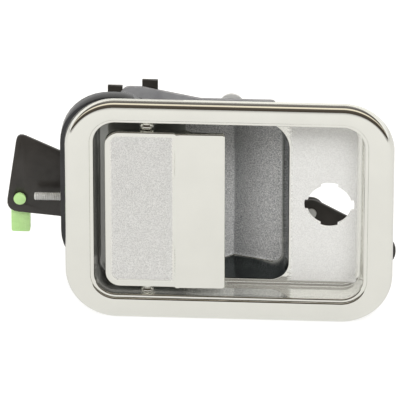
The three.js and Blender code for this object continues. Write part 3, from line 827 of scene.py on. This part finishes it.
def build_springs():
    lo, hi = cad_box("paddle_spring")
    wire, turns, per_turn = 0.6, 9, 30
    radius = (hi.x - lo.x) / 2 - wire
    path = coil(HINGE_X, HINGE_Y, radius, lo.z + wire, hi.z - wire, turns, turns * per_turn)
    wire_tube("paddle_spring_coil", path, wire, "housing", "paddle_spring")
    lo, hi = cad_box("lever_return_spring")
    pin_lo, pin_hi = cad_box("lever_pivot_pin")
    x, z = (pin_lo.x + pin_hi.x) / 2, (pin_lo.z + pin_hi.z) / 2
    wire, turns, count = 0.42, 0.92, 40
    path = coil(x, z, hi.x - x - wire, lo.y + wire, hi.y - wire, turns, count)
    path = [(px, py, pz) for px, pz, py in path]
    wire_tube("lever_return_spring_wire", path, wire, "housing", "lever_return_spring")


def build_fasteners():
    adjuster_pitch, adjuster_depth, stud_pitch, stud_depth = 1.0, 0.42, 0.8, 0.35
    threaded_bar("adjuster_thread", "adjuster_screw", 0, "adjuster", adjuster_pitch, adjuster_depth, BRIGHT)
    for i in range(4):
        stud = f"mounting_stud_{i + 1}"
        threaded_bar(stud + "_thread", stud, 1, "housing", stud_pitch, stud_depth, STEEL)
        build_screw(i + 1)
    build_springs()


# ---- CAD nodes that keep their own shape ----
LOOKS = {
    "flange_gasket": RUBBER, "paddle_bumper": RUBBER, "rear_bracket": BRACKET, "backing_plate": BLACK,
    "hinge_pin": STEEL, "paddle_spring": STEEL, "lever_pivot_pin": STEEL, "lever_pivot_washer": STEEL,
    "lever_return_spring": STEEL, "lock_lever_rivet": RIVET, "hinge_bush_upper": NYLON,
    "hinge_bush_lower": NYLON, "paddle_arm": STEEL, "release_lever": BLACK, "adjuster_screw": STEEL,
    "adjuster_nut": STEEL, "rod_clip": GREEN, "lock_lever": BLACK, "housing_casting": CASTING,
    "paddle": PADDLE,
}
LOOKS_BY_START = (("mounting_", STEEL), ("bracket_screw", DARK_STEEL), ("arm_screw", STEEL))
EDGE_SOFTNESS = 0.25
SOFTER = {
    "flange_gasket": 0.9, "rod_clip": 0.5, "rear_bracket": 0.4, "release_lever": 0.4, "lock_lever": 0.4,
}


def look_for(name):
    for start, look in LOOKS_BY_START:
        if name.startswith(start):
            return look
    return LOOKS[name]


def dress_cad_nodes():
    for name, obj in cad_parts.items():
        obj.data.materials.clear()
        obj.data.materials.append(look_for(name))
        obj.data.polygons.foreach_set("use_smooth", [True] * len(obj.data.polygons))
        joined = obj.modifiers.new("weld", "WELD")
        joined.merge_threshold = 1e-6
        soften = obj.modifiers.new("soft edges", "BEVEL")
        soften.width = SOFTER.get(name, EDGE_SOFTNESS) * MM
        soften.segments = 2
        soften.limit_method = "ANGLE"
        soften.angle_limit = math.radians(40)
        soften.harden_normals = True


# ---- stage, studio and camera, in metres and degrees ----
FLOOR_HALF, FLOOR_DROP = 3.0, 0.0004
# The floor glows white to the camera. In reflections it is a pale sheet that ends in front of the handle.
FLOOR_SEEN, SHEET_GLOW, BEYOND_GLOW, SHEET_FADE = 0.84, 0.437, 0.04, (-0.46, -0.32)
# The reflected studio by elevation, from -180 behind and below, over 0 in front, to 180 behind and above.
STUDIO = (
    (-180, (0.9, 0.9, 0.9)), (-60, (0.80, 0.79, 0.76)), (-8, (0.10, 0.09, 0.08)), (6, (0.07, 0.06, 0.05)),
    (14, (0.06, 0.05, 0.04)), (80, (0.10, 0.085, 0.07)), (86, (0.95, 0.85, 0.68)), (102, (0.95, 0.88, 0.74)),
    (107, (0.06, 0.05, 0.045)), (130, (0.10, 0.09, 0.08)), (137, (0.95, 0.93, 0.88)), (180, (0.9, 0.9, 0.9)),
)
LIGHTS = (("key", (0.5, -0.9, 1.3), 0.9, 20), ("fill", (-0.9, -0.6, 0.7), 0.8, 7))
VIEW_AZIMUTH, VIEW_ELEVATION, VIEW_DISTANCE, VIEW_WIDTH = 3.0, 27.5, 3.1, 0.2164
AIM_RIGHT, AIM_UP = -0.0157, 0.00528


def build_stage():
    lo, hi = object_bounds()
    mesh = bpy.data.meshes.new("floor")
    s = FLOOR_HALF
    z = lo.z - FLOOR_DROP
    mesh.from_pydata([(-s, -s, z), (s, -s, z), (s, s, z), (-s, s, z)], [], [(0, 1, 2, 3)])
    floor = bpy.data.objects.new("floor", mesh)
    bpy.context.scene.collection.objects.link(floor)

    def build(nodes, links, bsdf):
        bsdf.inputs["Base Color"].default_value = (0.35, 0.35, 0.35, 1)
        bsdf.inputs["Roughness"].default_value = 0.9
        bsdf.inputs["Emission Color"].default_value = (1, 1, 0.985, 1)
        path = nodes.new("ShaderNodeLightPath")
        glow = nodes.new("ShaderNodeMapRange")
        place = nodes.new("ShaderNodeNewGeometry")
        split = nodes.new("ShaderNodeSeparateXYZ")
        links.new(place.outputs["Position"], split.inputs[0])
        sheet_end = nodes.new("ShaderNodeMapRange")
        sheet_end.interpolation_type = "SMOOTHSTEP"
        sheet_end.inputs["From Min"].default_value = SHEET_FADE[0]
        sheet_end.inputs["From Max"].default_value = SHEET_FADE[1]
        sheet_end.inputs["To Min"].default_value = BEYOND_GLOW
        sheet_end.inputs["To Max"].default_value = SHEET_GLOW
        links.new(split.outputs["Y"], sheet_end.inputs["Value"])
        links.new(sheet_end.outputs[0], glow.inputs["To Min"])
        glow.inputs["To Max"].default_value = FLOOR_SEEN
        links.new(path.outputs["Is Camera Ray"], glow.inputs["Value"])
        links.new(glow.outputs[0], bsdf.inputs["Emission Strength"])

    mesh.materials.append(node_material("pale_floor", build))


def build_world():
    """A white room for the camera, and for reflections a studio that is bright low down and dark above."""
    world = bpy.data.worlds.new("studio")
    bpy.context.scene.world = world
    world.use_nodes = True
    nodes, links = world.node_tree.nodes, world.node_tree.links
    nodes.clear()
    tex = nodes.new("ShaderNodeTexCoord")
    split = nodes.new("ShaderNodeSeparateXYZ")
    links.new(tex.outputs["Generated"], split.inputs[0])
    # Elevation as it is seen from the front: the angle of the direction in the YZ plane.
    angle = nodes.new("ShaderNodeMath")
    angle.operation = "ARCTAN2"
    minus = nodes.new("ShaderNodeMath")
    minus.operation = "MULTIPLY"
    minus.inputs[1].default_value = -1
    links.new(split.outputs["Y"], minus.inputs[0])
    links.new(split.outputs["Z"], angle.inputs[0])
    links.new(minus.outputs[0], angle.inputs[1])
    scaled = nodes.new("ShaderNodeMapRange")
    scaled.inputs["From Min"].default_value = -math.pi
    scaled.inputs["From Max"].default_value = math.pi
    links.new(angle.outputs[0], scaled.inputs["Value"])
    bands = nodes.new("ShaderNodeValToRGB")
    stops = bands.color_ramp.elements
    while len(stops) < len(STUDIO):
        stops.new(0.5)
    for stop, (degrees, colour) in zip(stops, STUDIO):
        stop.position = (degrees + 180) / 360
        stop.color = (*colour, 1)
    links.new(scaled.outputs[0], bands.inputs["Fac"])
    path = nodes.new("ShaderNodeLightPath")
    seen = nodes.new("ShaderNodeBackground")
    seen.inputs["Color"].default_value = (1, 1, 1, 1)
    mirrored = nodes.new("ShaderNodeBackground")
    links.new(bands.outputs["Color"], mirrored.inputs["Color"])
    mix = nodes.new("ShaderNodeMixShader")
    links.new(path.outputs["Is Camera Ray"], mix.inputs["Fac"])
    links.new(mirrored.outputs[0], mix.inputs[1])
    links.new(seen.outputs[0], mix.inputs[2])
    out = nodes.new("ShaderNodeOutputWorld")
    links.new(mix.outputs[0], out.inputs["Surface"])


def build_lights():
    for name, place, size, power in LIGHTS:
        data = bpy.data.lights.new(name, "AREA")
        data.size = size
        data.energy = power
        light = bpy.data.objects.new(name, data)
        light.location = Vector(place) + Vector(metres(0, 0, 0))
        light.rotation_euler = (-Vector(place)).to_track_quat("-Z", "Y").to_euler()
        light.visible_glossy = False
        bpy.context.scene.collection.objects.link(light)


def build_camera():
    """Above the front and slightly to the right, far away with a long lens."""
    azimuth, elevation = math.radians(VIEW_AZIMUTH), math.radians(VIEW_ELEVATION)
    level = math.cos(elevation)
    back = Vector((math.sin(azimuth) * level, -math.cos(azimuth) * level, math.sin(elevation)))
    turn = (-back).to_track_quat("-Z", "Y")
    right, up = turn @ Vector((1, 0, 0)), turn @ Vector((0, 1, 0))
    data = bpy.data.cameras.new("camera")
    data.sensor_width = 36
    data.lens = data.sensor_width * VIEW_DISTANCE / VIEW_WIDTH
    data.clip_end = 20
    camera = bpy.data.objects.new("camera", data)
    aim = Vector(metres(0, 0, 0)) + right * AIM_RIGHT + up * AIM_UP
    camera.location = aim + back * VIEW_DISTANCE
    camera.rotation_euler = turn.to_euler()
    bpy.context.scene.collection.objects.link(camera)
    bpy.context.scene.camera = camera


dress_cad_nodes()
finish_casting()
build_knuckles()
build_bosses()
build_paddle()
build_fasteners()
build_stage()
build_world()
build_lights()
build_camera()
bpy.context.scene.view_settings.view_transform = "Standard"
